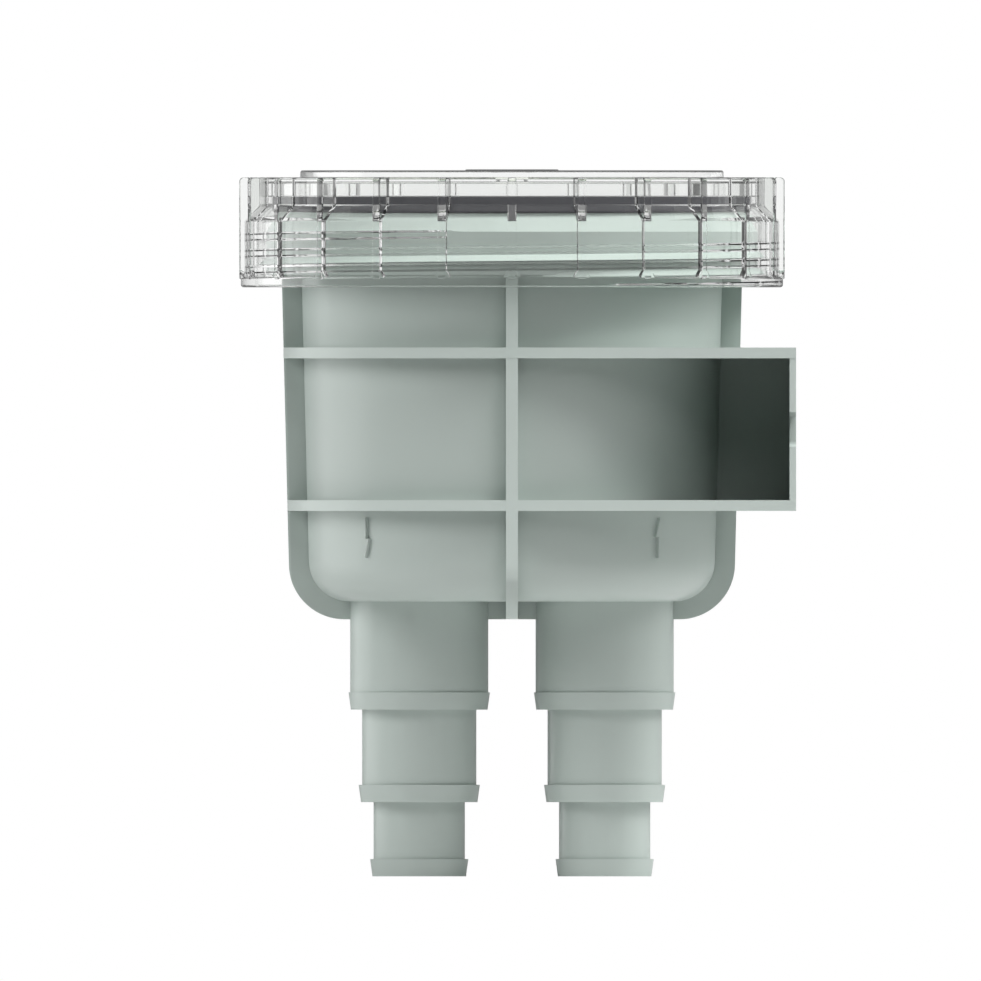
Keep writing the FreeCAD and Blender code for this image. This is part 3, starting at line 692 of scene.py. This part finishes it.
def make_housing(material):
    piece = housing_block()
    for side in (1, -1):
        combine(piece, hose_tail(side), "UNION")
        combine(piece, bolt_slot(side), "DIFFERENCE")
    chamber = lathe("chamber", [
        (0, TUB_FOOT + WALL),
        (TUB_FOOT_RADIUS - WALL, TUB_FOOT + WALL, TUB_CORNER - WALL),
        (TUB_HEAD_RADIUS - WALL, LEDGE),
        (NECK_BORE, LEDGE),
        (NECK_BORE, NECK_RIM + OVERCUT),
        (0, NECK_RIM + OVERCUT),
    ])
    combine(piece, chamber, "DIFFERENCE")
    pipe = lathe("pipe", [
        (0, TUB_FOOT + OVERCUT),
        (STANDPIPE_RADIUS, TUB_FOOT + OVERCUT),
        (STANDPIPE_RADIUS, STANDPIPE_TOP),
        (0, STANDPIPE_TOP),
    ], TAIL_OFFSET, TAIL_FACETS)
    combine(piece, pipe, "UNION")
    combine(piece, tail_bore(1, STANDPIPE_TOP + OVERCUT, STANDPIPE_BORE), "DIFFERENCE")
    combine(piece, tail_bore(-1, TUB_FOOT + WALL + OVERCUT, OUTLET_MOUTH), "DIFFERENCE")
    soften(piece, HOUSING_ROUNDING, angle=LEAD_IN_ANGLE)
    finish_piece(piece, "root", material, LEAD_IN_ANGLE)
    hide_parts("housing")


def helix_ridge(name, root, crest, section, turns, at_front):
    """A thread ridge with tapered ends; turns are counted from the front, one turn a pitch."""
    first_turn, last_turn = turns
    count = int((last_turn - first_turn) * CAP_FACETS)
    vertices = []
    for step in range(count + 1):
        turn = first_turn + (last_turn - first_turn) * step / count
        fade = min(1.0, (turn - first_turn) / THREAD_TAPER, (last_turn - turn) / THREAD_TAPER)
        reach = root + (crest - root) * max(fade, THREAD_END)
        angle = -math.pi / 2 + math.tau * turn
        height = at_front + THREAD_PITCH * turn
        for radius, offset in zip((root, reach, reach, root), section):
            vertices.append((radius * math.cos(angle), radius * math.sin(angle), height + offset))
    faces = [[0, 1, 2, 3], [4 * count + corner for corner in range(4)]]
    for step in range(count):
        for corner in range(4):
            ahead = (corner + 1) % 4
            faces.append([4 * step + corner, 4 * step + ahead,
                          4 * step + 4 + ahead, 4 * step + 4 + corner])
    return add_mesh(name, vertices, faces)


def make_neck_thread(material):
    piece = helix_ridge("neck_thread", NECK_RADIUS - THREAD_SUNK, NECK_CREST, NECK_SECTION,
                        NECK_TURNS, THREAD_AT_FRONT)
    soften(piece, FINE_ROUNDING)
    finish_piece(piece, "root", material)


def cap_body():
    """The cap without its ribs and thread."""
    return lathe("cap_shell", [
        (0, BOSS_TOP),
        (BOSS_RADIUS, BOSS_TOP),
        (BOSS_RADIUS + BOSS_SLOPE, PLATEAU_TOP),
        (PLATEAU_RADIUS, PLATEAU_TOP, EDGE_ROUNDING),
        (PLATEAU_RADIUS, CAP_TOP),
        (CAP_HEAD_RADIUS, CAP_TOP, EDGE_ROUNDING),
        (CAP_HEAD_RADIUS, CAP_HEAD_FOOT, CONE_ROUNDING),
        (CAP_RADIUS, CAP_CONE_FOOT, CONE_ROUNDING),
        (CAP_RADIUS, SKIRT_TOP),
        (CAP_RADIUS + SKIRT_RISE, SKIRT_TOP, SKIRT_ROUNDING),
        (CAP_RADIUS + SKIRT_RISE, CAP_EDGE, SKIRT_ROUNDING),
        (CAP_BORE, CAP_EDGE, INNER_ROUNDING),
        (CAP_BORE, INNER_CONE_FOOT, EDGE_ROUNDING),
        (CAP_HEAD_BORE, INNER_CONE_HEAD, EDGE_ROUNDING),
        (CAP_HEAD_BORE, CAP_LAND, INNER_ROUNDING),
        (REGISTER_RADIUS, CAP_LAND, INNER_ROUNDING),
        (REGISTER_RADIUS, REGISTER_FOOT, INNER_ROUNDING),
        (REGISTER_BORE, REGISTER_FOOT, INNER_ROUNDING),
        (REGISTER_BORE, MIDDLE_UNDERSIDE, EDGE_ROUNDING),
        (0, MIDDLE_UNDERSIDE),
    ], facets=CAP_FACETS)


def grip_rib():
    """One grip rib on the cap's right, sunk half way into the walls, with its foot."""
    inner_head = CAP_HEAD_RADIUS - CAP_WALL / 2
    inner_wall = CAP_RADIUS - CAP_WALL / 2
    rib = slab("grip", [
        (inner_head, CAP_TOP - HAIR),
        (GRIP_RADIUS, CAP_TOP - HAIR, GRIP_CORNER),
        (GRIP_RADIUS, SKIRT_TOP - GRIP_SUNK),
        (inner_wall, SKIRT_TOP - GRIP_SUNK),
        (inner_wall, CAP_CONE_FOOT),
        (inner_head, CAP_HEAD_FOOT),
    ], "XZ", -GRIP_THICKNESS / 2, GRIP_THICKNESS / 2)
    soften(rib, GRIP_ROUNDING, 4)
    foot_half = FOOT_WIDTH / 2
    head_half = GRIP_THICKNESS / 2 + HAIR
    foot = slab("grip_foot", [
        (-foot_half, SKIRT_TOP - FOOT_EDGE),
        (foot_half, SKIRT_TOP - FOOT_EDGE),
        (foot_half, SKIRT_TOP + FOOT_EDGE),
        (head_half, SKIRT_TOP + FOOT_HEIGHT),
        (-head_half, SKIRT_TOP + FOOT_HEIGHT),
        (-foot_half, SKIRT_TOP + FOOT_EDGE),
    ], "YZ", inner_wall, GRIP_RADIUS - FOOT_INSET)
    soften(foot, FOOT_ROUNDING)
    combine(rib, foot, "UNION")
    return rib


def make_cap(material):
    piece = cap_body()
    rib = grip_rib()
    ribs = bmesh.new()
    for index in range(GRIP_COUNT):
        turned = rib.data.copy()
        turned.transform(Matrix.Rotation(math.tau * index / GRIP_COUNT, 4, "Z"))
        ribs.from_mesh(turned)
    ribs.to_mesh(rib.data)
    ribs.free()
    combine(piece, rib, "UNION")
    thread = helix_ridge("cap_thread", CAP_BORE + THREAD_SUNK, CAP_CREST, CAP_SECTION,
                         CAP_TURNS, THREAD_AT_FRONT - THREAD_PITCH / 2)
    combine(piece, thread, "UNION")
    soften(piece, CAP_ROUNDING)
    finish_piece(piece, "cap", material, CLEAR_ANGLE)
    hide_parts("screw_cap")


def make_gasket(material):
    piece = lathe("gasket_ring", [
        (GASKET_BORE, NECK_RIM + HAIR, EDGE_ROUNDING),
        (GASKET_RADIUS, NECK_RIM + HAIR, EDGE_ROUNDING),
        (GASKET_RADIUS, CAP_LAND - HAIR, EDGE_ROUNDING),
        (GASKET_BORE, CAP_LAND - HAIR, EDGE_ROUNDING),
    ])
    finish_piece(piece, "cap_carrier", material)
    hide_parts("cap_gasket")


def flow_arrow(name, azimuth, upward):
    """A slim raised arrow wrapped on the tub; azimuth is in degrees from the front."""
    neck = ARROW_LENGTH - ARROW_HEAD
    outline = [(-ARROW_SHAFT_HALF, 0), (ARROW_SHAFT_HALF, 0), (ARROW_SHAFT_HALF, neck),
               (ARROW_HEAD_HALF, neck), (0, ARROW_LENGTH), (-ARROW_HEAD_HALF, neck),
               (-ARROW_SHAFT_HALF, neck)]
    vertices = []
    for lift in (-ARROW_SUNK, ARROW_LIFT):
        for across, along in outline:
            rise = along - ARROW_LENGTH / 2
            height = ARROW_MIDDLE + (rise if upward else -rise)
            radius = tub_radius_at(height) + lift
            angle = math.radians(azimuth - 90) + across / radius
            vertices.append((radius * math.cos(angle), radius * math.sin(angle), height))
    return add_mesh(name, vertices, prism_faces(len(outline)))


def make_arrows(material):
    for name, azimuth, upward in ARROWS:
        piece = flow_arrow(name, azimuth, upward)
        soften(piece, FINE_ROUNDING)
        finish_piece(piece, "root", material)


def dress_basket(material):
    """The basket keeps its CAD shape and gets its own plastic."""
    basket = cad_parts["strainer_basket"]
    basket.data.materials.clear()
    basket.data.materials.append(material)


def background(tree, strength):
    node = tree.nodes.new("ShaderNodeBackground")
    node.inputs["Color"].default_value = WHITE
    feed(tree, node.inputs["Strength"], strength)
    return node.outputs["Background"]


def add_world():
    """White for the camera, a white backdrop seen through the clear cap, one bright panel on the
    left in what gloss mirrors, and next to no light of its own."""
    world = bpy.data.worlds.new("studio")
    bpy.context.scene.world = world
    world.use_nodes = True
    tree = world.node_tree
    tree.nodes.clear()
    direction = tree.nodes.new("ShaderNodeTexCoord").outputs["Generated"]
    to_right, to_back, to_top = separate(tree, direction)

    behind = spread(tree, to_back, BACKDROP_SPAN, STUDIO_DARK, 1.0, "SMOOTHSTEP")
    off_level = math_node(tree, "ABSOLUTE", to_top)
    level = spread(tree, off_level, CEILING_SPAN, 1.0, STUDIO_CEILING, "SMOOTHSTEP")
    backdrop = math_node(tree, "MULTIPLY", behind, level)
    panel_left = spread(tree, to_right, PANEL_LEFT_SPAN, 0.0, 1.0, "SMOOTHSTEP")
    panel_back = spread(tree, to_back, PANEL_BACK_SPAN, 0.0, 1.0, "SMOOTHSTEP")
    panel = math_node(tree, "MULTIPLY", panel_left, panel_back)
    mirrored = math_node(tree, "MULTIPLY_ADD", panel, PANEL_GLOSS, STUDIO_GLOSS)

    path = tree.nodes.new("ShaderNodeLightPath")
    surface = background(tree, STUDIO_FILL)
    for ray, seen in (("Is Glossy Ray", mirrored), ("Is Transmission Ray", backdrop),
                      ("Is Camera Ray", 1.0)):
        surface = mix_shaders(tree, path.outputs[ray], surface, background(tree, seen))
    output = tree.nodes.new("ShaderNodeOutputWorld")
    tree.links.new(surface, output.inputs["Surface"])


def add_lamp(name, azimuth, elevation, power):
    """A square soft box aimed at the tub's axis; neither gloss nor the clear cap shows it.

    The azimuth is in degrees from the front, and the elevation from the level.
    """
    lamp = bpy.data.lights.new(name, "AREA")
    lamp.shape = "SQUARE"
    lamp.size = LAMP_SIZE
    lamp.energy = power
    turn, rise = math.radians(azimuth - 90), math.radians(elevation)
    away = Vector((math.cos(turn) * math.cos(rise), math.sin(turn) * math.cos(rise),
                   math.sin(rise)))
    holder = bpy.data.objects.new(name, lamp)
    holder.location = Vector((AXIS_X, 0, 0)) + away * LAMP_DISTANCE
    holder.rotation_euler = (-away).to_track_quat("-Z", "Y").to_euler()
    holder.visible_glossy = False
    holder.visible_transmission = False
    bpy.context.scene.collection.objects.link(holder)


def floor_material():
    """Pale and matt, near white to the camera, and fading out into the white round it."""
    material = bpy.data.materials.new("floor")
    material.use_nodes = True
    tree = material.node_tree
    tree.nodes.clear()
    matt = tree.nodes.new("ShaderNodeBsdfDiffuse")
    matt.inputs["Color"].default_value = FLOOR_GREY
    path = tree.nodes.new("ShaderNodeLightPath")
    to_camera = math_node(tree, "MULTIPLY", path.outputs["Is Camera Ray"], FLOOR_GLOW)
    glow = tree.nodes.new("ShaderNodeEmission")
    strength = math_node(tree, "MULTIPLY_ADD", path.outputs["Is Diffuse Ray"], FLOOR_BOUNCE,
                         to_camera)
    tree.links.new(strength, glow.inputs["Strength"])
    both = tree.nodes.new("ShaderNodeAddShader")
    tree.links.new(matt.outputs["BSDF"], both.inputs[0])
    tree.links.new(glow.outputs["Emission"], both.inputs[1])

    centred = tree.nodes.new("ShaderNodeVectorMath")
    centred.operation = "SUBTRACT"
    centred.inputs[1].default_value = (AXIS_X, 0, FLOOR_Z)
    tree.links.new(place_in_frame(tree), centred.inputs[0])
    reach = tree.nodes.new("ShaderNodeVectorMath")
    reach.operation = "LENGTH"
    tree.links.new(centred.outputs["Vector"], reach.inputs[0])
    fade = spread(tree, reach.outputs["Value"], FLOOR_FADE, 0.0, 1.0, "SMOOTHSTEP")
    surface = mix_shaders(tree, fade, both.outputs["Shader"], see_through(tree, WHITE))
    output = tree.nodes.new("ShaderNodeOutputMaterial")
    tree.links.new(surface, output.inputs["Surface"])
    return material


def add_floor():
    """Floor that keeps the shadow near the part."""
    corners = []
    for side in range(FLOOR_SIDES):
        angle = math.tau * side / FLOOR_SIDES
        corners.append((FLOOR_RADIUS * math.cos(angle), FLOOR_RADIUS * math.sin(angle),
                        -FLOOR_DROP))
    disc = add_mesh("floor", corners, [list(range(FLOOR_SIDES))])
    disc.data.transform(TO_FRAME)
    disc.data.materials.append(floor_material())


def add_camera():
    """Level view from the front, drawn in parallel as the photograph is."""
    camera = bpy.data.cameras.new("camera")
    camera.type = "ORTHO"
    camera.ortho_scale = VIEW_WIDTH
    camera.clip_start = CAMERA_NEAREST
    camera.clip_end = CAMERA_FARTHEST
    holder = bpy.data.objects.new("camera", camera)
    holder.location = (AXIS_X - VIEW_ASIDE, -CAMERA_DISTANCE, FLOOR_Z + VIEW_MIDDLE)
    holder.rotation_euler = (math.pi / 2, 0, 0)
    bpy.context.scene.collection.objects.link(holder)
    bpy.context.scene.camera = holder


def main():
    bpy.context.scene.view_settings.view_transform = "Standard"
    add_camera()
    add_world()
    add_floor()
    for lamp in LAMPS:
        add_lamp(*lamp)
    # The housing plastic carries a painted highlight on its rib edges and neck lead-in
    grey_green = moulded_plastic("housing_plastic", HOUSING_LIGHT, HOUSING_DARK,
                                 HOUSING_ROUGHNESS, HOUSING_GRAIN, HOUSING_PAINTED_HIGHLIGHT)
    off_white = moulded_plastic("basket_plastic", BASKET_LIGHT, BASKET_DARK,
                                BASKET_ROUGHNESS, BASKET_GRAIN)
    make_housing(grey_green)
    # Painted highlight: the neck thread gets a paler copy of the housing plastic
    make_neck_thread(moulded_plastic("thread_painted_highlight_plastic", THREAD_PAINTED_HIGHLIGHT_LIGHT, THREAD_PAINTED_HIGHLIGHT_DARK,
                                     HOUSING_ROUGHNESS, HOUSING_GRAIN))
    make_arrows(grey_green)
    make_gasket(rubber())
    make_cap(clear_plastic())
    dress_basket(off_white)


main()
